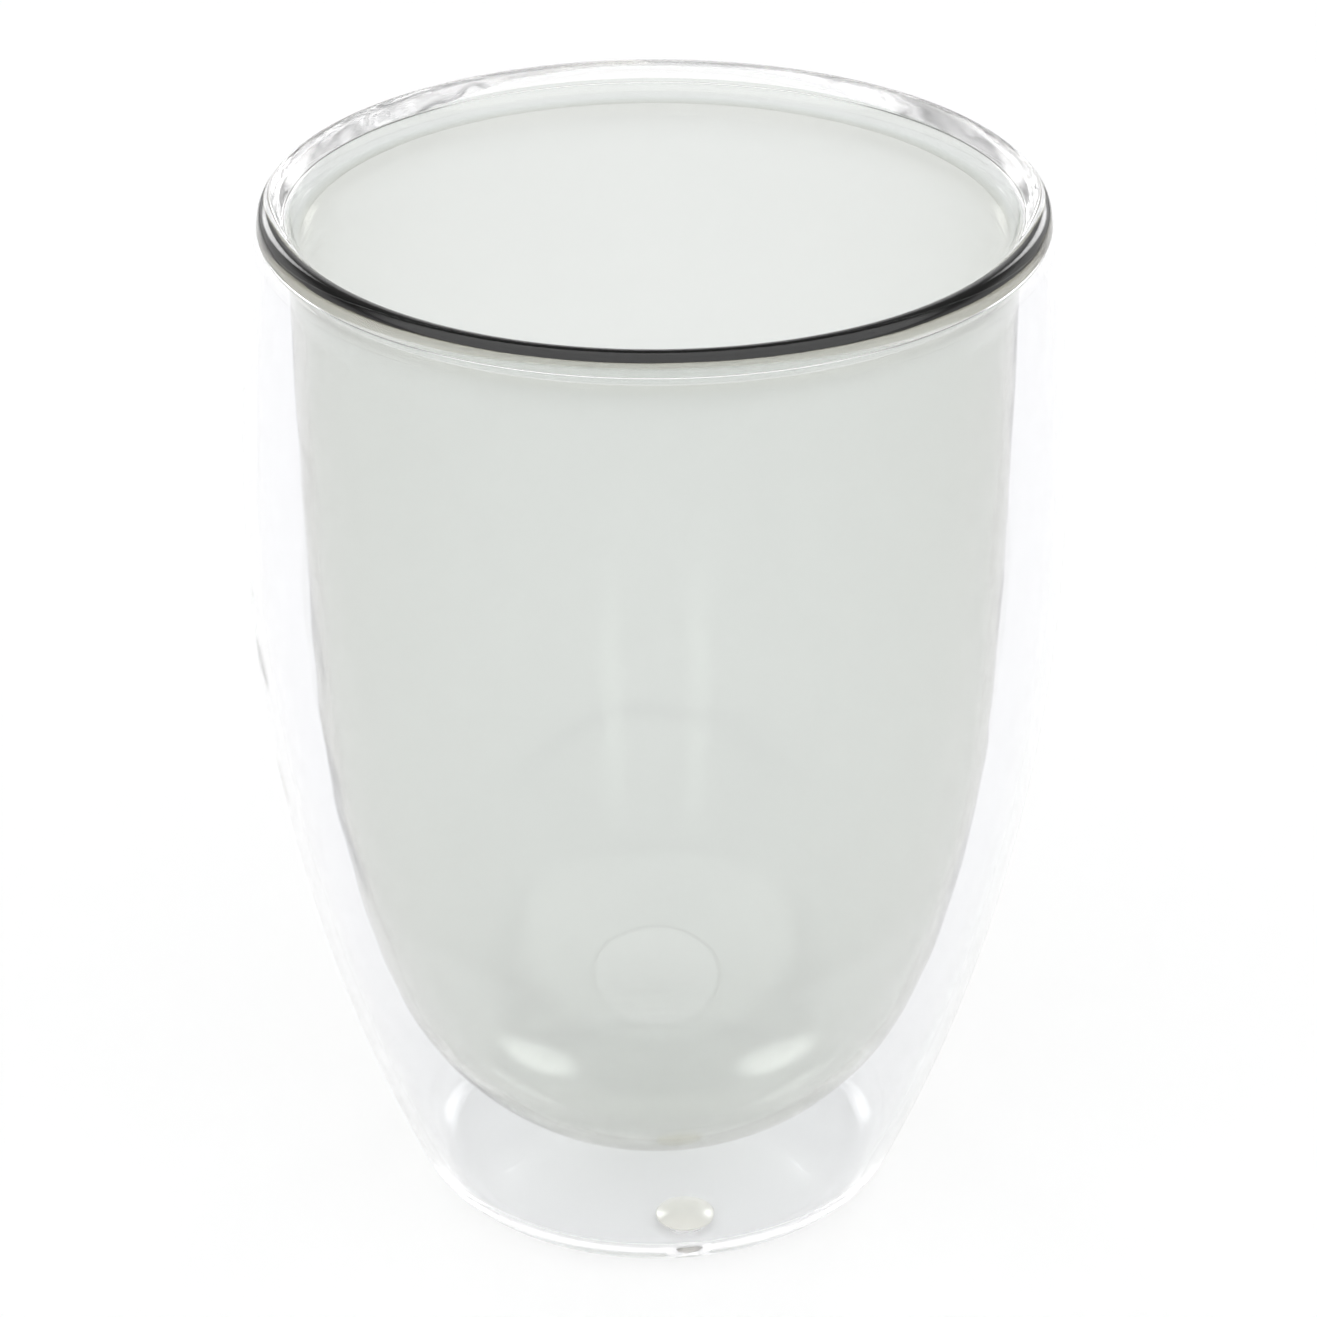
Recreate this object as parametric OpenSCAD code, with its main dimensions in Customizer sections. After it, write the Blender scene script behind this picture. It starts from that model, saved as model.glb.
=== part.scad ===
// Double walled glass cup: a clear outer shell and a tinted inner bowl, fused at a round lip,
// with a vent in the base that a soft plug seals. Millimetres, +Z up.
// The origin is the middle of the base, on the table.

/* [Outer glass] */
// Height from the table to the top of the lip
height = 120; // [110:1:135]
// Widest outside diameter
body_d = 90; // [84:1:100]
// Depth of the widest part below the top of the lip
shoulder_h = 35.5; // [30:0.5:42]
// Diameter of the flat of the base, inside its rounded heel
base_d = 44.8; // [38:0.2:54]
// Radius of the rounded heel, outside
heel_r = 6.5; // [5:0.5:12]
// Thickness of the side wall
outer_wall = 1.4; // [1:0.1:2]
// Thickness of the base over its resting ring
base_t = 2; // [1.6:0.1:3]
// Radius of the rounded corner inside the base
heel_in_r = 5.5; // [4:0.5:10]
// Width of the flat ring that the cup rests on
foot_w = 2.5; // [1.5:0.1:4]
// Depth of the hollow under the base
punt_h = 0.6; // [0.3:0.1:1]

/* [Inner bowl] */
// Width of the jacket of air at the neck of the bowl, under the flare
jacket_w = 3; // [2.4:0.1:4]
// Thickness of the bowl
inner_wall = 1.3; // [0.9:0.1:1.8]
// Height of the bowl's underside above the table
bowl_lift = 5.5; // [4.5:0.1:20]
// How much smaller the radius of the round bottom is than that of the neck
draw_in = 5.9; // [4.5:0.1:12]
// Radius of the turn between the bottom and the side
turn_r = 125; // [100:1:180]
// Radius of the almost straight side
bowl_side_r = 1160; // [900:10:2000]

/* [Lip] */
// Thickness of the round lip
lip_t = 2.8; // [2.4:0.1:3.2]
// Depth of solid glass from the top of the lip to the jacket
lip_depth = 2.8; // [2.6:0.1:5]
// Radius of the jacket's rounded upper end
notch_r = 0.25; // [0.2:0.05:0.7]
// Depth of the lip's two legs below the middle of that end
leg_h = 1; // [0.8:0.1:2]
// Height of the bowl's outside flare below the lip's legs, down to the neck
flare_h = 5.5; // [4:0.25:7]
// Height of the bowl's inside flare below the lip's legs
throat_h = 1; // [0.5:0.25:3]

/* [Vent] */
// Diameter of the vent hole
vent_d = 4.6; // [3:0.1:5]
// Distance of the vent's axis from the edge of the flat inside the base
vent_margin = 4.4; // [4:0.1:8]
// Direction of the vent around the axis, in degrees
vent_angle = -80; // [-180:1:180]
// Gap between the plug's stem and the hole, all round
plug_gap = 0.05; // [0.02:0.01:0.1]
// Length of the plug's stem below the inside of the base
plug_stem = 1.3; // [1:0.1:1.5]
// How far the plug's head reaches over the edge of the hole
plug_flange = 1; // [0.7:0.1:1.5]
// Height of the plug's head
plug_head_h = 0.9; // [0.8:0.1:1.8]
// Radius of the domed top of the head
plug_dome_r = 9; // [8:0.5:14]

/* [Hidden] */
$fn = 256;
// How far cutting shapes run past what they cut
overrun = 5;
// How far a smaller arc stands proud of the larger one that it runs into
proud = 0.005;

// Heights of the widest part, the lip's rounding, the jacket's end, the seam, the throat and the neck
widest_z = height - shoulder_h;
lip_r = lip_t / 2;
lip_z = height - lip_r;
notch_z = height - lip_depth - notch_r;
seam_z = notch_z - leg_h;
throat_z = seam_z - throat_h;
neck_z = seam_z - flare_h;

// Radius of an arc that starts upright and touches a disc, which lies across and along from its start
function touch_r(across, along, disc_r) =
    (across * across + along * along - disc_r * disc_r) / (2 * (across - disc_r));

// The side is one long arc, upright at the widest part and touching the heel. Inside it by an inset
// runs another, and side_x is the radius of that one at a height.
base_x = base_d / 2;
side_r = touch_r(body_d / 2 - base_x, widest_z - heel_r, heel_r);
side_c = [body_d / 2 - side_r, widest_z];
function side_x(inset, z) = side_c.x + sqrt(pow(side_r - inset, 2) - pow(z - side_c.y, 2));

// Centre of a heel that touches the side from inside and rests on a floor
function heel_c(inset, floor_z, radius) = [side_x(inset + radius, floor_z + radius), floor_z + radius];

// The hollow under the base is part of a large ball
foot_x = base_x - foot_w;
punt_r = (foot_x * foot_x + punt_h * punt_h) / (2 * punt_h);

// The almost straight side of the bowl, upright at its neck, and its radius at a height
neck_x = side_x(outer_wall, neck_z) - jacket_w;
bowl_side_c = [neck_x - bowl_side_r, neck_z];
function bowl_x(inset, z) = bowl_side_c.x + sqrt(pow(bowl_side_r - inset, 2) - pow(z - neck_z, 2));

// The lip's rounding and the jacket's end, each touching the side and its own flare of the bowl
lip_c = [side_x(lip_r, lip_z), lip_z];
notch_c = [side_x(outer_wall + notch_r, notch_z), notch_z];
throat_x = bowl_x(inner_wall, throat_z);
flare_in_r = touch_r(lip_c.x - throat_x, lip_z - throat_z, lip_r);
flare_in_c = [throat_x + flare_in_r, throat_z];
flare_out_r = touch_r(notch_c.x - neck_x, notch_z - neck_z, notch_r);
flare_out_c = [neck_x + flare_out_r, neck_z];

// Centres of the bowl's round bottom and of the turn, which touches both the bottom and the side
ball_r = neck_x - draw_in;
ball_c = [0, bowl_lift + ball_r];
turn_c = crossing(ball_c, turn_r - ball_r, bowl_side_c, bowl_side_r - turn_r);

// Where two circles cross, on the right of the way from a to b
function crossing(a, a_r, b, b_r) = let (
    gap = norm(b - a),
    along = (a_r * a_r - b_r * b_r + gap * gap) / (2 * gap),
    across = sqrt(a_r * a_r - along * along),
    way = (b - a) / gap)
    a + along * way + across * [way.y, -way.x];

// The place on the line from one centre through another, at a radius from the second
function touch(far_c, near_c, radius) = near_c + radius * (near_c - far_c) / norm(near_c - far_c);

// The vent, inside the edge of the flat of the base, and the plug's head over it
vent_offset = heel_c(outer_wall, base_t, heel_in_r).x - vent_margin;
plug_head_d = vent_d + 2 * plug_flange;

// Half of an outline between two heights, from the axis out to a width
module strip(z_from, z_to, width) {
    translate([0, z_from]) square([width, z_to - z_from]);
}

// The part of a disc between two heights, on one side of the axis
module disc_band(centre, radius, z_from, z_to) {
    intersection() {
        translate(centre) circle(r = radius);
        strip(z_from, z_to, body_d);
    }
}

// All that lies inside the outer glass's outside, or inside its inside, up to a height
module cup_outline(inset, floor_z, heel, top_z) {
    centre = heel_c(inset, floor_z, heel);
    join_z = touch(side_c, centre, heel).y;
    disc_band(side_c, side_r - inset, join_z, top_z);
    disc_band(centre, heel + proud, floor_z, join_z + heel);
    strip(floor_z, join_z, centre.x);
}

// All that lies inside the bowl's outside, or inside its inside, up to a height on its flare
module bowl_outline(inset, flare_c, flare, top_z) {
    turn_z = touch(turn_c, ball_c, ball_r - inset).y;
    side_z = touch(bowl_side_c, turn_c, turn_r - inset).y;
    disc_band(ball_c, ball_r - inset + 2 * proud, 0, ball_c.y);
    disc_band(turn_c, turn_r - inset + proud, turn_z, neck_z);
    disc_band(bowl_side_c, bowl_side_r - inset, side_z, flare_c.y);
    difference() {
        strip(flare_c.y, top_z, notch_c.x);
        translate(flare_c) circle(r = flare);
    }
}

// The space between the side and a flare, rounded at its upper end by a disc that touches both
module rounded_end(inset, flare_c, flare, tip, tip_r, bottom_z) {
    translate(tip) circle(r = tip_r + proud);
    intersection() {
        translate(side_c) circle(r = side_r - inset);
        translate(flare_c) circle(r = flare);
        polygon([
            tip,
            touch(side_c, tip, tip_r + overrun),
            [body_d, bottom_z],
            [0, bottom_z],
            touch(flare_c, tip, tip_r + overrun)
        ]);
    }
}

// Moves a piece from the axis to the vent
module at_vent() {
    rotate([0, 0, vent_angle]) translate([vent_offset, 0, 0]) children();
}

module outer_glass() {
    color("aliceblue", 0.35) difference() {
        rotate_extrude() difference() {
            cup_outline(0, 0, heel_r, seam_z);
            cup_outline(outer_wall, base_t, heel_in_r, seam_z + overrun);
            disc_band([0, punt_h - punt_r], punt_r, -overrun, punt_h + overrun);
        }
        at_vent() translate([0, 0, -overrun]) cylinder(d = vent_d, h = base_t + 2 * overrun);
    }
}

module inner_glass() {
    color("darkseagreen", 0.45) rotate_extrude() difference() {
        bowl_outline(0, flare_out_c, flare_out_r, seam_z);
        bowl_outline(inner_wall, flare_in_c, flare_in_r, seam_z + overrun);
    }
}

module rim_bead() {
    color("lightgray", 0.6) rotate_extrude() intersection() {
        difference() {
            rounded_end(0, flare_in_c, flare_in_r, lip_c, lip_r, neck_z);
            rounded_end(outer_wall, flare_out_c, flare_out_r, notch_c, notch_r, neck_z);
        }
        strip(seam_z, height + overrun, body_d);
    }
}

module vent_plug() {
    color("ivory", 0.8) at_vent() {
        translate([0, 0, base_t - plug_stem]) cylinder(d = vent_d - 2 * plug_gap, h = plug_stem);
        intersection() {
            translate([0, 0, base_t]) cylinder(d = plug_head_d, h = plug_head_h);
            translate([0, 0, base_t + plug_head_h - plug_dome_r]) sphere(r = plug_dome_r);
        }
    }
}

outer_glass();
inner_glass();
rim_bead();
vent_plug();
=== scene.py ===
# %% [markdown]
# A double walled glass cup.
# The cup is two blown glasses, one inside the other, fused at a thick round lip, with a small soft
# plug in its base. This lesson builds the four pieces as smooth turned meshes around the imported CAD
# model, gives them glass and silicone, and sets them in a plain white studio.

# %% Load the frame
import math
import bpy
import bmesh
from mathutils import Matrix, Vector


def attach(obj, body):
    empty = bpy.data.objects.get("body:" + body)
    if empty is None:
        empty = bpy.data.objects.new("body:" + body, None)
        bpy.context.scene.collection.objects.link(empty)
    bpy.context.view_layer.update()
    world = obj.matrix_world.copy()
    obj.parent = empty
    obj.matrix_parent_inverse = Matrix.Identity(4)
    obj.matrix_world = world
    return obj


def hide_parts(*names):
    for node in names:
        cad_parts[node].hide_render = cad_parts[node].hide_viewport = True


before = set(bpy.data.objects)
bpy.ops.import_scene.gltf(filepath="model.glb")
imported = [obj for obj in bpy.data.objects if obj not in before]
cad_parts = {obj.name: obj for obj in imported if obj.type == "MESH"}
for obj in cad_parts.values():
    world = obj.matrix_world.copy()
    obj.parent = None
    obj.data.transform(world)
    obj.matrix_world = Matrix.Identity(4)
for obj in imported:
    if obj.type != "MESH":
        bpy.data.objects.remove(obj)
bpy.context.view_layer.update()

scene = bpy.context.scene
print("CAD nodes:", sorted(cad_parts))

# %% [markdown]
# The camera comes first, because every later choice is judged through it.
# The photograph looks down on the cup by about 28 degrees with a long lens, so the sides hardly
# converge. A camera can be placed by eye, but here the outline of the cup gives its angle, distance
# and focal length, and the camera is set from those numbers.

# %% Place the camera
mm = 0.001
photo_width = 1317
focal_in_photo_pixels = 4468.3
sensor_mm = 36
nearest_seen = 10 * mm
camera_tilt = math.radians(27.9)
camera_roll = math.radians(0.157)
camera_distance = 500 * mm
aim = Vector((0.3 * mm, 0, 64.28 * mm))

forward = Vector((0, math.cos(camera_tilt), -math.sin(camera_tilt)))
camera_data = bpy.data.cameras.new("photo_camera")
camera_data.sensor_width = sensor_mm
camera_data.lens = focal_in_photo_pixels / photo_width * sensor_mm
camera_data.clip_start = nearest_seen
camera = bpy.data.objects.new("photo_camera", camera_data)
scene.collection.objects.link(camera)
turn = forward.to_track_quat("-Z", "Y").to_matrix().to_4x4() @ Matrix.Rotation(-camera_roll, 4, "Z")
camera.matrix_world = Matrix.Translation(aim - camera_distance * forward) @ turn
scene.camera = camera
print("Lens in mm:", round(camera_data.lens, 1))

# %% [markdown]
# The sizes are those of the CAD model, in metres.
# The outline of the cup is a chain of arcs that touch each other, so each wall can be drawn from a
# few radii. The CAD meshes could be shown as they are, but glass bends the light at every facet, so
# the pieces are drawn again from the same arcs, with fine steps.

# %% Sizes of the outer glass
height = 120 * mm
body_radius = 45 * mm
widest_below_top = 35.5 * mm
base_x = 22.4 * mm
heel_r = 6.5 * mm
outer_wall = 1.4 * mm
base_t = 2 * mm
heel_in_r = 5.5 * mm
foot_w = 2.5 * mm
punt_h = 0.6 * mm


def touching_radius(across, along, disc_r):
    """Radius of an arc that starts upright and touches a disc, which lies across and along from it."""
    return (across ** 2 + along ** 2 - disc_r ** 2) / (2 * (across - disc_r))


widest_z = height - widest_below_top
side_r = touching_radius(body_radius - base_x, widest_z - heel_r, heel_r)
side_c = Vector((body_radius - side_r, widest_z))


def side_x(inset, z):
    """Radius of the outer glass at a height, inside its outline by an inset."""
    return side_c.x + math.sqrt((side_r - inset) ** 2 - (z - side_c.y) ** 2)


def heel_centre(inset, floor_z, radius):
    """Centre of a heel that touches the side from inside and rests on a floor."""
    return Vector((side_x(inset + radius, floor_z + radius), floor_z + radius))


heel_c = heel_centre(0, 0, heel_r)
heel_in_c = heel_centre(outer_wall, base_t, heel_in_r)
foot_x = base_x - foot_w
punt_r = (foot_x ** 2 + punt_h ** 2) / (2 * punt_h)
print("Radius of the long side arc in mm:", round(side_r / mm, 1))

# %% [markdown]
# The bowl hangs from the lip, so its sizes are counted down from there.
# The lip is a round bead on the outer side, with a small notch below it where the jacket of air ends.
# A flare leads from the lip to the neck of the bowl. Its side is almost straight, a wide arc turns it
# in, and a ball closes the bottom.

# %% Sizes of the lip and the bowl
lip_r = 1.4 * mm
lip_depth = 2.8 * mm
notch_r = 0.25 * mm
leg_h = 1 * mm
throat_h = 1 * mm
flare_h = 5.5 * mm
neck_gap = 3 * mm
inner_wall = 1.3 * mm
bowl_side_r = 1160 * mm
turn_r = 125 * mm
ball_inset = 5.9 * mm
bowl_low = 5.5 * mm

lip_z = height - lip_r
notch_z = height - lip_depth - notch_r
seam_z = notch_z - leg_h
throat_z = seam_z - throat_h
neck_z = seam_z - flare_h
neck_x = side_x(outer_wall, neck_z) - neck_gap
bowl_side_c = Vector((neck_x - bowl_side_r, neck_z))
ball_r = neck_x - ball_inset
ball_c = Vector((0, bowl_low + ball_r))
lip_c = Vector((side_x(lip_r, lip_z), lip_z))
notch_c = Vector((side_x(outer_wall + notch_r, notch_z), notch_z))
throat_x = bowl_side_c.x + math.sqrt((bowl_side_r - inner_wall) ** 2 - (throat_z - neck_z) ** 2)
flare_in_r = touching_radius(lip_c.x - throat_x, lip_z - throat_z, lip_r)
flare_in_c = Vector((throat_x + flare_in_r, throat_z))
flare_out_r = touching_radius(notch_c.x - neck_x, notch_z - neck_z, notch_r)
flare_out_c = Vector((neck_x + flare_out_r, neck_z))
print("Neck of the bowl in mm:", round(2 * neck_x / mm, 1))


def crossing(a, a_r, b, b_r):
    """Where two circles cross, on the right of the way from a to b."""
    gap = (b - a).length
    along = (a_r ** 2 - b_r ** 2 + gap ** 2) / (2 * gap)
    across = math.sqrt(a_r ** 2 - along ** 2)
    way = (b - a) / gap
    return a + along * way + across * Vector((way.y, -way.x))


turn_c = crossing(ball_c, turn_r - ball_r, bowl_side_c, bowl_side_r - turn_r)
print("Round bottom of the bowl in mm:", round(2 * ball_r / mm, 1))

# %% [markdown]
# A glass blower turns the cup about its axis, and so does the script.
# Blender has a Screw modifier for this, but the base has a hole away from the axis. Here each piece
# is a row of rings, and neighbouring rings are joined by a band of faces. A ring may have its middle
# off the axis, so the base can close round the vent without cutting.

# %% Rings and skins
ring_steps = 256
fine_step = 0.15 * mm
heel_step = 2 * fine_step
wall_step = 0.8 * mm
least_steps = 6
no_radius = 1e-7
no_distance = 1e-8
sharp_angle = math.radians(35)


def direction(start, end):
    """Angle of the way from one point of an outline to another."""
    return math.atan2(end.y - start.y, end.x - start.x)


def arc(centre, radius, start, end, step=wall_step):
    """Points of an outline along an arc, as radius and height."""
    count = max(least_steps, round(abs(end - start) * radius / step))
    angles = [start + (end - start) * i / count for i in range(count + 1)]
    return [(centre.x + radius * math.cos(a), centre.y + radius * math.sin(a)) for a in angles]


def ring(radius, z, middle=(0, 0), steps=ring_steps):
    """Points of a level ring. A ring without radius is a single point."""
    if radius < no_radius:
        return [(middle[0], middle[1], z)]
    angles = [2 * math.pi * i / steps for i in range(steps)]
    return [(middle[0] + radius * math.cos(a), middle[1] + radius * math.sin(a), z) for a in angles]


def without_repeats(points):
    """An outline in which no point lies on the one before it."""
    kept = points[:1]
    for point in points[1:]:
        if math.dist(point, kept[-1]) > no_distance:
            kept.append(point)
    return kept


def skin(name, rings, closed):
    """A smooth mesh piece with a band of faces between each ring and the next."""
    mesh_in_work = bmesh.new()
    rows = [[mesh_in_work.verts.new(p) for p in points] for points in rings]
    pairs = list(zip(rows, rows[1:]))
    if closed:
        pairs.append((rows[-1], rows[0]))
    for low, high in pairs:
        count = max(len(low), len(high))
        for i in range(count):
            j = (i + 1) % count
            corners = [low[i], low[j]] if len(low) > 1 else [low[0]]
            corners += [high[j], high[i]] if len(high) > 1 else [high[0]]
            mesh_in_work.faces.new(corners)
    bmesh.ops.recalc_face_normals(mesh_in_work, faces=mesh_in_work.faces)
    mesh = bpy.data.meshes.new(name)
    mesh_in_work.to_mesh(mesh)
    mesh_in_work.free()
    mesh.shade_smooth()
    mesh.set_sharp_from_angle(angle=sharp_angle)
    piece = bpy.data.objects.new(name, mesh)
    scene.collection.objects.link(piece)
    print(name, "has", len(mesh.polygons), "faces")
    return piece


# %% [markdown]
# The outer glass is the clear egg-shaped shell that a hand holds.
# It stands on a flat ring round a shallow hollow. Its rings run from the heel up the outer side,
# across the seam at the top, down the inner side and over the floor to the vent, and then from the
# vent back under the base to the heel. The rings near the vent slide from the middle of the cup to
# the middle of the vent.

# %% Outer glass
seam_gap = 0.01 * mm
vent_r = 2.3 * mm
vent_from_heel = 4.4 * mm
vent_angle = math.radians(-80)
base_rings = 24

vent_offset = heel_in_c.x - vent_from_heel
vent_middle = Vector((vent_offset * math.cos(vent_angle), vent_offset * math.sin(vent_angle)))


def side_angle(inset, z):
    """Angle on the long side arc at a height."""
    return math.asin((z - side_c.y) / (side_r - inset))


def punt_height(x, y):
    """Height of the underside of the base above the table."""
    distance = math.hypot(x, y)
    if distance > foot_x:
        return 0
    return punt_h - punt_r + math.sqrt(punt_r ** 2 - distance ** 2)


def rings_to_vent(radius):
    """Flat rings from the edge of the base in to the vent, as lists of points at height 0."""
    shares = [i / base_rings for i in range(base_rings + 1)]
    return [ring(radius + (vent_r - radius) * s, 0, vent_middle * s) for s in shares]


outer_top = seam_z - seam_gap
outside = arc(heel_c, heel_r, -math.pi / 2, direction(side_c, heel_c), heel_step)
outside += arc(side_c, side_r, direction(side_c, heel_c), side_angle(0, outer_top))
inside = arc(side_c, side_r - outer_wall, side_angle(outer_wall, outer_top), direction(side_c, heel_in_c))
inside += arc(heel_in_c, heel_in_r, direction(side_c, heel_in_c), -math.pi / 2, heel_step)
shell_rings = [ring(r, z) for r, z in without_repeats(outside + inside)]
floor_rings = [[(x, y, base_t) for x, y, _ in points] for points in rings_to_vent(heel_in_c.x)]
under_rings = [[(x, y, punt_height(x, y)) for x, y, _ in points] for points in rings_to_vent(heel_c.x)]
outer_glass = skin("outer_glass_shell", shell_rings + floor_rings[1:] + under_rings[:0:-1], True)

# %% [markdown]
# The inner bowl is a tinted glass with a round bottom, which hangs in the outer one by its lip.
# Its two sides are the same chain of arcs, one inside the other by the wall: a ball, a wide turn, an
# almost straight side and a flare towards the lip. Both chains start on the axis.

# %% Inner bowl


def bowl_chain(inset, flare_c, flare_r, top_z):
    """One side of the bowl, from the axis at the bottom up to a height on the flare."""
    ball_end = direction(turn_c, ball_c)
    turn_end = direction(bowl_side_c, turn_c)
    side_end = math.asin((flare_c.y - neck_z) / (bowl_side_r - inset))
    flare_end = math.pi - math.asin((top_z - flare_c.y) / flare_r)
    points = arc(ball_c, ball_r - inset, -math.pi / 2, ball_end)
    points += arc(turn_c, turn_r - inset, ball_end, turn_end)
    points += arc(bowl_side_c, bowl_side_r - inset, turn_end, side_end)
    points += arc(flare_c, flare_r, math.pi, flare_end, fine_step)
    return without_repeats(points)


bowl_outside = bowl_chain(0, flare_out_c, flare_out_r, outer_top)
bowl_inside = bowl_chain(inner_wall, flare_in_c, flare_in_r, outer_top)
bowl_rings = [ring(r, z) for r, z in bowl_outside + bowl_inside[::-1]]
inner_glass = skin("inner_glass_bowl", bowl_rings, False)

# %% [markdown]
# The lip is where the two glasses were melted together, a round bead with two short legs.
# Its outline follows the side of the cup, the round top, the flare on the inside, and then the end
# of the jacket of air between the legs. It meets both glasses at a level seam.

# %% Lip
notch_step = fine_step / 3

lip_start = direction(side_c, lip_c)
lip_end = direction(flare_in_c, lip_c)
notch_start = direction(flare_out_c, notch_c)
notch_end = direction(side_c, notch_c)
flare_in_low = math.pi - math.asin((seam_z - flare_in_c.y) / flare_in_r)
flare_out_low = math.pi - math.asin((seam_z - flare_out_c.y) / flare_out_r)
bead = arc(side_c, side_r, side_angle(0, seam_z), lip_start, fine_step)
bead += arc(lip_c, lip_r, lip_start, lip_end, fine_step)
bead += arc(flare_in_c, flare_in_r, lip_end, flare_in_low, fine_step)
bead += arc(flare_out_c, flare_out_r, flare_out_low, notch_start, fine_step)
bead += arc(notch_c, notch_r, notch_start, notch_end, notch_step)
bead += arc(side_c, side_r - outer_wall, notch_end, side_angle(outer_wall, seam_z), fine_step)
rim_bead = skin("rim_bead_lip", [ring(r, z) for r, z in without_repeats(bead)], True)

# %% [markdown]
# The vent plug is a soft cap pressed into the hole through which the jacket was vented.
# It has a short stem and a flat head with a domed top. Its edges are rounded a little, as moulded
# silicone always is, so that they catch the light. A hair of air under the head keeps its face apart
# from the face of the glass.

# %% Vent plug
plug_steps = 96
stem_clearance = 0.05 * mm
stem_depth = 1.3 * mm
head_overhang = 1 * mm
head_h = 0.9 * mm
dome_r = 9 * mm
plug_round = 0.2 * mm
plug_gap = 0.02 * mm

stem_r = vent_r - stem_clearance
stem_low = base_t - stem_depth
head_r = vent_r + head_overhang
under_z = base_t + plug_gap
round_x = head_r - plug_round
dome_c = Vector((0, base_t + head_h - dome_r))
dome_edge_c = Vector((round_x, dome_c.y + math.sqrt((dome_r - plug_round) ** 2 - round_x ** 2)))
dome_start = direction(dome_c, dome_edge_c)
under_c = Vector((round_x, under_z + plug_round))
stem_c = Vector((stem_r - plug_round, stem_low + plug_round))
plug_outline = [(0, stem_low)]
plug_outline += arc(stem_c, plug_round, -math.pi / 2, 0)
plug_outline += [(stem_r, under_z)]
plug_outline += arc(under_c, plug_round, -math.pi / 2, 0)
plug_outline += arc(dome_edge_c, plug_round, 0, dome_start)
plug_outline += arc(dome_c, dome_r, dome_start, math.pi / 2, heel_step)
plug_rings = [ring(r, z, vent_middle, plug_steps) for r, z in without_repeats(plug_outline)]
vent_plug = skin("vent_plug_cap", plug_rings, False)

# %% [markdown]
# Each piece now rides on the cup and stands for its CAD node.
# The CAD solids stay in the physics model for collision, and are hidden here.

# %% Ride and replace
pieces = {
    "outer_glass": (outer_glass, "clear_glass"),
    "inner_glass": (inner_glass, "smoke_glass"),
    "rim_bead": (rim_bead, "lip_glass"),
    "vent_plug": (vent_plug, "silicone"),
}
for node, (piece, slot) in pieces.items():
    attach(piece, "root")
    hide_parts(node)
    print(piece.name, "stands for", node)

# %% [markdown]
# Clear glass is a Principled shader with full transmission.
# Blown glass isn't quite even, so a very weak, wide noise bends its surface, and finer noise varies
# its roughness. Where two glass pieces meet, light should pass as through one body of glass. An
# attribute marks the faces at the seam, and Alpha makes just those faces disappear.

# %% Glass maker
glass_ior = 1.52
wave_scale = 45.0
wave_height = 0.12 * mm
smudge_scale = 900.0
smudge_low = 0.0
smudge_high = 0.012
seam_margin = seam_gap / 4


def mark_seam(piece, z):
    """Gives faces the attribute wall: 0 on level faces at the seam and 1 elsewhere."""
    mesh = piece.data
    wall = mesh.attributes.new("wall", "FLOAT", "FACE")
    for face in mesh.polygons:
        heights = [mesh.vertices[i].co.z for i in face.vertices]
        at_seam = all(abs(value - z) < seam_margin for value in heights)
        wall.data[face.index].value = 0.0 if at_seam else 1.0


def spread(tree, share, low, high):
    """A socket that runs from low to high while a share runs from 0 to 1."""
    node = tree.nodes.new("ShaderNodeMapRange")
    node.inputs["To Min"].default_value = low
    node.inputs["To Max"].default_value = high
    tree.links.new(share, node.inputs["Value"])
    return node.outputs["Result"]


def noise(tree, scale):
    """A socket with a noise that is fixed to the piece."""
    place = tree.nodes.new("ShaderNodeTexCoord")
    node = tree.nodes.new("ShaderNodeTexNoise")
    node.inputs["Scale"].default_value = scale
    tree.links.new(place.outputs["Object"], node.inputs["Vector"])
    return node.outputs["Fac"]


def glass(name, colour):
    """A glass material whose surface waves a little and has faint smudges."""
    material = bpy.data.materials.new(name)
    material.use_nodes = True
    tree = material.node_tree
    shader = tree.nodes["Principled BSDF"]
    shader.inputs["Base Color"].default_value = (*colour, 1)
    shader.inputs["IOR"].default_value = glass_ior
    shader.inputs["Transmission Weight"].default_value = 1.0
    bump = tree.nodes.new("ShaderNodeBump")
    bump.inputs["Distance"].default_value = wave_height
    wall = tree.nodes.new("ShaderNodeAttribute")
    wall.attribute_name = "wall"
    roughness = spread(tree, noise(tree, smudge_scale), smudge_low, smudge_high)
    tree.links.new(noise(tree, wave_scale), bump.inputs["Height"])
    tree.links.new(bump.outputs["Normal"], shader.inputs["Normal"])
    tree.links.new(roughness, shader.inputs["Roughness"])
    tree.links.new(wall.outputs["Fac"], shader.inputs["Alpha"])
    return material


print("Glass bends light by", glass_ior)

# %% [markdown]
# The outer glass is almost without colour, and each face that light passes takes a little of it.
# Absorption inside the glass would also do, but in so thin a wall the colour of the surface gives
# the same look.

# %% Clear outer glass
clear_tint = (0.96, 0.962, 0.972)
outer_glass.data.materials.append(glass("clear_glass", clear_tint))
mark_seam(outer_glass, outer_top)
print("Tint of the clear glass:", clear_tint)

# %% [markdown]
# The bowl is tinted through and through, so its colour deepens where light runs far inside it.
# A surface colour alone would tint every part alike. A Volume Absorption node takes light away with
# distance instead: thin walls stay pale, and the lip, where light is led down into the wall, turns
# dark.

# %% Smoke glass of the bowl
smoke_surface = (0.975, 1.0, 0.993)
smoke_left_after_wall = (0.878, 0.873, 0.854)
density_room = 1.25

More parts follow.
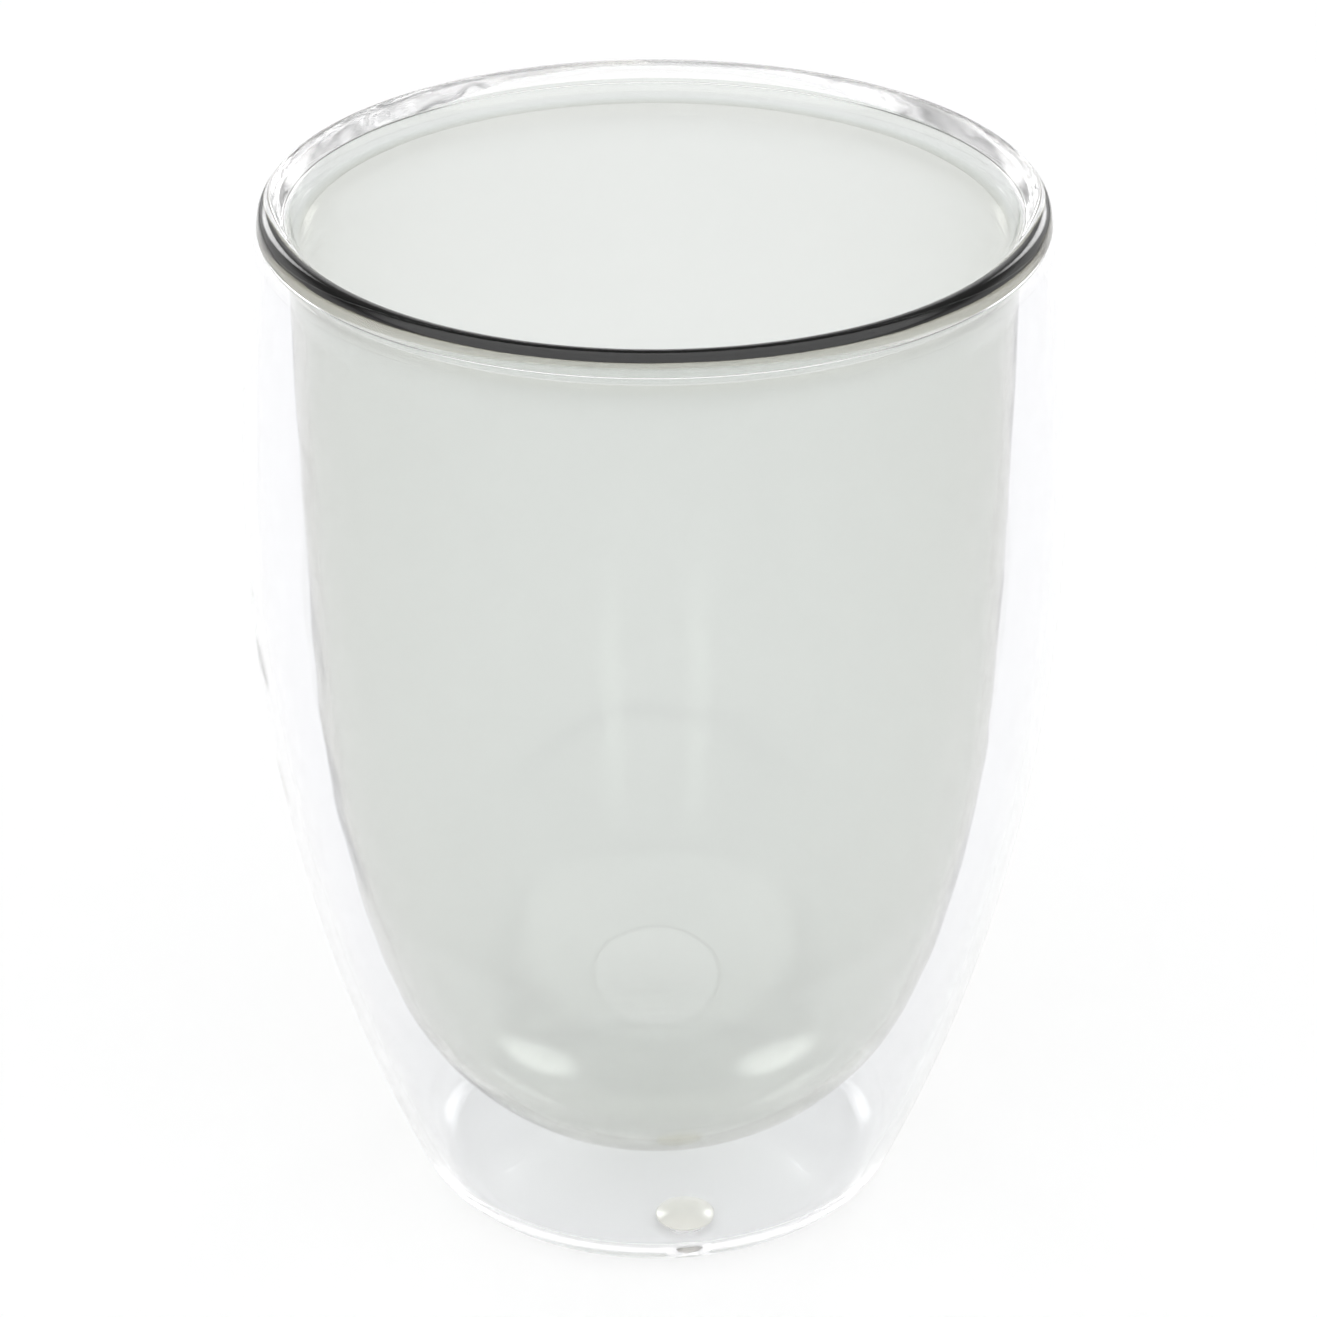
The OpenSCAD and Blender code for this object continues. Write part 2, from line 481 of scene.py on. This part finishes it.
smoke_glass = glass("smoke_glass", smoke_surface)
loss_per_metre = [-math.log(share) / inner_wall for share in smoke_left_after_wall]
smoke_density = density_room * max(loss_per_metre)
absorption = smoke_glass.node_tree.nodes.new("ShaderNodeVolumeAbsorption")
absorption.inputs["Color"].default_value = (*[1 - loss / smoke_density for loss in loss_per_metre], 1)
absorption.inputs["Density"].default_value = smoke_density
smoke_output = smoke_glass.node_tree.nodes["Material Output"]
smoke_glass.node_tree.links.new(absorption.outputs["Volume"], smoke_output.inputs["Volume"])
inner_glass.data.materials.append(smoke_glass)
mark_seam(inner_glass, outer_top)
print("Smoke glass density per metre:", round(smoke_density, 1))

# %% [markdown]
# In the lip the two glasses have run into each other: clear outside, tinted inside.
# The tint is a skin on the inside of the bead, so those faces get a second glass material.

# %% Glass of the lip
lip_clear = (1.0, 1.0, 1.0)
film_tint = (0.63, 0.66, 0.63)
film_slot = 1

rim_bead.data.materials.append(glass("lip_glass", lip_clear))
rim_bead.data.materials.append(glass("lip_glass_smoke", film_tint))
mark_seam(rim_bead, seam_z)
film_faces = 0
for face in rim_bead.data.polygons:
    faces_axis = face.normal.xy.dot(face.center.xy) < 0
    inside_notch = face.center.xy.length < notch_c.x - fine_step
    below_crest = face.center.z < lip_z
    if faces_axis and inside_notch and below_crest:
        face.material_index = film_slot
        film_faces += 1
print("Tinted faces of the lip:", film_faces)

# %% [markdown]
# Silicone is soft, milky and a little cream coloured.
# Most light is scattered at its surface and some passes through, a little blurred, so a quarter of
# the shader is a rough transmission. Cloudy noise varies the colour and the gloss.

# %% Silicone of the plug
silicone_pale = (0.93, 0.92, 0.87, 1)
silicone_cloud = (0.86, 0.84, 0.77, 1)
cloud_scale = 350.0
satin_low = 0.12
satin_high = 0.28
silicone_through = 0.25
silicone_ior = 1.41

silicone = bpy.data.materials.new("silicone")
silicone.use_nodes = True
silicone_tree = silicone.node_tree
silicone_shader = silicone_tree.nodes["Principled BSDF"]
clouds = noise(silicone_tree, cloud_scale)
milk = silicone_tree.nodes.new("ShaderNodeMix")
milk.data_type = "RGBA"
milk.inputs["A"].default_value = silicone_pale
milk.inputs["B"].default_value = silicone_cloud
satin = spread(silicone_tree, clouds, satin_low, satin_high)
silicone_tree.links.new(clouds, milk.inputs["Factor"])
silicone_tree.links.new(milk.outputs["Result"], silicone_shader.inputs["Base Color"])
silicone_tree.links.new(satin, silicone_shader.inputs["Roughness"])
silicone_shader.inputs["Transmission Weight"].default_value = silicone_through
silicone_shader.inputs["IOR"].default_value = silicone_ior
vent_plug.data.materials.append(silicone)
print("Silicone covers", len(vent_plug.data.polygons), "faces")

# %% [markdown]
# The studio is a white floor in white light, as in a catalogue photograph.
# The floor is a pale matt surface that keeps the cup's soft shadow. For the camera it glows most of
# the way to plain white. In and through the glass it glows only a little, so that the shade under
# the cup shows there. It lies a hair below the cup, so that the two faces stay apart.

# %% Floor
floor_half = 2.0
floor_z = -0.05 * mm
floor_white = (0.93, 0.93, 0.93, 1)
floor_roughness = 0.8
glow_seen = 0.7
glow_in_glass = 0.12


def combine(tree, operation, first, second):
    """A socket with the result of a Math node on two others."""
    node = tree.nodes.new("ShaderNodeMath")
    node.operation = operation
    tree.links.new(first, node.inputs[0])
    tree.links.new(second, node.inputs[1])
    return node.outputs["Value"]


floor_mesh = bpy.data.meshes.new("floor")
floor_corners = [(-floor_half, -floor_half, floor_z), (floor_half, -floor_half, floor_z)]
floor_corners += [(floor_half, floor_half, floor_z), (-floor_half, floor_half, floor_z)]
floor_mesh.from_pydata(floor_corners, [], [(0, 1, 2, 3)])
floor = bpy.data.objects.new("floor", floor_mesh)
scene.collection.objects.link(floor)

floor_paint = bpy.data.materials.new("floor_paint")
floor_paint.use_nodes = True
floor_tree = floor_paint.node_tree
matt = floor_tree.nodes["Principled BSDF"]
matt.inputs["Base Color"].default_value = floor_white
matt.inputs["Roughness"].default_value = floor_roughness
matt.inputs["Specular IOR Level"].default_value = 0.0
glow = floor_tree.nodes.new("ShaderNodeEmission")
glow.inputs["Strength"].default_value = 1.0
path = floor_tree.nodes.new("ShaderNodeLightPath").outputs
floor_in_glass = combine(floor_tree, "MAXIMUM", path["Is Glossy Ray"], path["Is Transmission Ray"])
floor_seen = combine(floor_tree, "MAXIMUM", path["Is Camera Ray"], floor_in_glass)
floor_share = spread(floor_tree, path["Is Camera Ray"], glow_in_glass, glow_seen)
floor_glow = combine(floor_tree, "MULTIPLY", floor_share, floor_seen)
floor_mix = floor_tree.nodes.new("ShaderNodeMixShader")
floor_tree.links.new(floor_glow, floor_mix.inputs["Fac"])
floor_tree.links.new(matt.outputs["BSDF"], floor_mix.inputs[1])
floor_tree.links.new(glow.outputs["Emission"], floor_mix.inputs[2])
floor_tree.links.new(floor_mix.outputs["Shader"], floor_tree.nodes["Material Output"].inputs["Surface"])
floor_mesh.materials.append(floor_paint)
print("Floor side in metres:", 2 * floor_half)

# %% [markdown]
# The walls of the studio are in the shade, so the world lights the cup a little from all round.
# For the camera they are plain white. In and through the glass they are white up to the height of a
# backdrop, and above it they fade to a dim ceiling. Light that has met a matt surface finds them dim
# everywhere, so that the floor under the cup and the plug stay in the same light as the rest.

# %% World
wall_level = 0.26
backdrop_top = 0.3
ceiling_start = 0.6
first_matt_bounce = 0.5


def fade_out(tree, value, start, end):
    """A socket that falls smoothly from 1 to 0 while a value runs from start to end."""
    node = tree.nodes.new("ShaderNodeMapRange")
    node.interpolation_type = "SMOOTHSTEP"
    node.inputs["From Min"].default_value = start
    node.inputs["From Max"].default_value = end
    node.inputs["To Min"].default_value = 1.0
    node.inputs["To Max"].default_value = 0.0
    tree.links.new(value, node.inputs["Value"])
    return node.outputs["Result"]


world = bpy.data.worlds.new("pale_studio")
world.use_nodes = True
world_tree = world.node_tree
walls = world_tree.nodes["Background"]
walls.inputs["Color"].default_value = (1, 1, 1, 1)
look = world_tree.nodes.new("ShaderNodeTexCoord")
look_parts = world_tree.nodes.new("ShaderNodeSeparateXYZ")
world_tree.links.new(look.outputs["Generated"], look_parts.inputs["Vector"])
backdrop = fade_out(world_tree, look_parts.outputs["Z"], backdrop_top, ceiling_start)
before_matt = world_tree.nodes.new("ShaderNodeMath")
before_matt.operation = "LESS_THAN"
before_matt.inputs[1].default_value = first_matt_bounce
path = world_tree.nodes.new("ShaderNodeLightPath").outputs
world_tree.links.new(path["Diffuse Depth"], before_matt.inputs[0])
in_glass = combine(world_tree, "MAXIMUM", path["Is Glossy Ray"], path["Is Transmission Ray"])
backdrop_in_glass = combine(world_tree, "MULTIPLY", in_glass, backdrop)
world_seen = combine(world_tree, "MAXIMUM", path["Is Camera Ray"], backdrop_in_glass)
world_glow = combine(world_tree, "MULTIPLY", world_seen, before_matt.outputs["Value"])
world_tree.links.new(spread(world_tree, world_glow, wall_level, 1.0), walls.inputs["Strength"])
scene.world = world
print("Light from the walls:", wall_level)

# %% [markdown]
# A wide soft box hangs over the cup and gives most of the light.
# It is large and not very bright, so that its picture in the bowl stays faint. Two smaller and
# brighter ones stand behind the cup, at its sides. They lie as two soft patches in the bottom of the
# bowl and as small glints on the heel. All fade at their edges, as cloth in front of a lamp does.

# %% Soft boxes
fade_width = 0.3
box_middle = (0.5, 0.5, 0)
lamp_target = Vector((0, 0, height / 2))

top_place = (0, -0.3, 0.9)
top_size = (3.0, 1.7)
top_brightness = 1.5
top_fade = 0.35

rear_aside = 0.37
rear_back = 0.63
rear_up = 0.4
rear_size = (0.28, 0.5)
rear_brightness = 4.5
rear_fade = 0.2


def soft_box(name, place, size, brightness, fade_start):
    """An area light that faces the cup, with this radiance in its middle and a faded edge."""
    lamp_data = bpy.data.lights.new(name, "AREA")
    lamp_data.shape = "RECTANGLE"
    lamp_data.size = size[0]
    lamp_data.size_y = size[1]
    lamp_data.energy = brightness * math.pi * size[0] * size[1]
    lamp_data.use_nodes = True
    tree = lamp_data.node_tree
    on_box = tree.nodes.new("ShaderNodeNewGeometry")
    from_middle = tree.nodes.new("ShaderNodeVectorMath")
    from_middle.operation = "DISTANCE"
    from_middle.inputs[1].default_value = box_middle
    tree.links.new(on_box.outputs["Parametric"], from_middle.inputs[0])
    fade = fade_out(tree, from_middle.outputs["Value"], fade_start, fade_start + fade_width)
    tree.links.new(fade, tree.nodes["Emission"].inputs["Strength"])
    lamp = bpy.data.objects.new(name, lamp_data)
    lamp.location = place
    toward_cup = lamp_target - Vector(place)
    lamp.rotation_euler = toward_cup.to_track_quat("-Z", "Y").to_euler()
    scene.collection.objects.link(lamp)
    print(name, "gives", round(lamp_data.energy, 2), "W")


soft_box("top_box", top_place, top_size, top_brightness, top_fade)
for name, side in (("left_box", -1), ("right_box", 1)):
    rear_place = (side * rear_aside, rear_back, rear_up)
    soft_box(name, rear_place, rear_size, rear_brightness, rear_fade)

# %% [markdown]
# Light runs a long way inside glass before it gets out.
# Cycles stops a ray after a few bounces and paints it black, which shows as false dark lines at the
# lip and the heel. A high limit costs little here, because almost all rays leave early. Cycles also
# blurs glass for light that has met a matt surface, which would darken the plug, so that is off.

# %% View and light paths
most_bounces = 1000
scene.cycles.max_bounces = most_bounces
scene.cycles.glossy_bounces = most_bounces
scene.cycles.transmission_bounces = most_bounces
scene.cycles.transparent_max_bounces = most_bounces
scene.cycles.blur_glossy = 0.0
scene.view_settings.view_transform = "Standard"
print("Light may bounce", most_bounces, "times")
